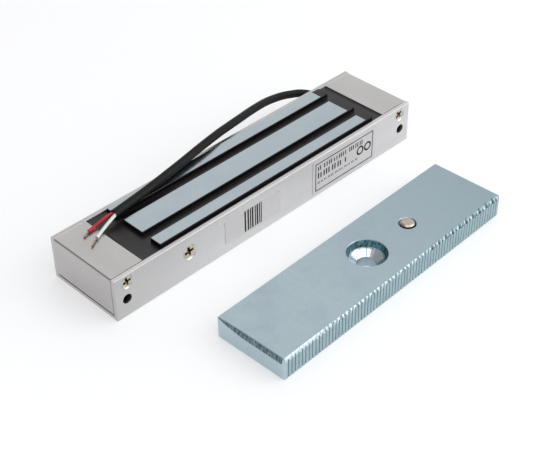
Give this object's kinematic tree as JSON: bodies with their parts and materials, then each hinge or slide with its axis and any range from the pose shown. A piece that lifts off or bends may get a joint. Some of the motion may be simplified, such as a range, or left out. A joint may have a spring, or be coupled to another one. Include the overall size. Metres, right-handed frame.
{
  "type": "magnetic door lock",
  "caption": "Surface-mount electromagnetic door lock: a long magnet unit with flush pole strips and a short lead, and a loose steel armature plate with a release pin.",
  "frame": {"origin": "centre of the magnet unit's base face, which lies on the surface", "axes": "+X along the magnet unit towards the end where the lead comes out, -Y its labelled front side, +Z out of the pole faces"},
  "size_m": [0.168, 0.1191, 0.025],
  "materials": {
    "aluminium": "satin extruded aluminium",
    "cover_sheet": "satin grey sheet",
    "screw_steel": "nickel-plated steel",
    "core_steel": "ground and zinc-plated lamination edges",
    "zinc_steel": "blue-grey zinc plating, faintly mottled",
    "pin_nickel": "warm nickel plating",
    "black_resin": "smooth black epoxy",
    "black_rubber": "matt black PVC and rubber",
    "bobbin_plastic": "moulded nylon",
    "copper": "enamelled copper wire",
    "red_pvc": "smooth red PVC",
    "white_pvc": "smooth white PVC",
    "tinned_wire": "twisted tinned strands",
    "black_plastic": "matt black sleeve",
    "clear_film": "clear film with dark print",
    "spring_steel": "bright spring steel"
  },
  "bodies": {
    "magnet_unit": {"housing_channel": "aluminium", "end_cover_left": "cover_sheet", "end_cover_right": "cover_sheet", "cover_screw_front_left": "screw_steel", "cover_screw_front_right": "screw_steel", "cover_screw_rear_left": "screw_steel", "cover_screw_rear_right": "screw_steel", "core_screw_front": "screw_steel", "core_screw_rear": "screw_steel", "core_laminations": "core_steel", "core_rivet_front": "core_steel", "core_rivet_rear": "core_steel", "coil_bobbin": "bobbin_plastic", "coil_winding": "copper", "potting_resin": "black_resin", "cable_grommet": "black_rubber", "cable_tail": "black_rubber", "cable_jacket": "black_rubber", "red_wire": "red_pvc", "white_wire": "white_pvc", "red_wire_tip": "tinned_wire", "white_wire_tip": "tinned_wire", "inner_red_wire": "red_pvc", "inner_white_wire": "white_pvc", "coil_lead_start": "copper", "coil_lead_end": "copper", "splice_sleeve_red": "black_plastic", "splice_sleeve_white": "black_plastic", "surge_diode": "black_plastic", "rating_label": "clear_film", "clear_sticker": "clear_film"},
    "armature": {"armature_plate": "zinc_steel", "pin_plug": "spring_steel", "release_pin_spring": "spring_steel"},
    "pin": {"release_pin": "pin_nickel"}
  },
  "joints": [
    {"name": "armature_lift", "type": "slide", "parent": "magnet_unit", "child": "armature", "axis": [0, 0, 1], "range_m": [0, 0.05]},
    {"name": "release_pin_press", "type": "slide", "parent": "armature", "child": "pin", "axis": [0, 0, -1], "range_m": [0, 0.0008], "stiffness_N_per_m": 800, "springref_m": -0.002, "deforming": ["release_pin_spring"]}
  ]
}
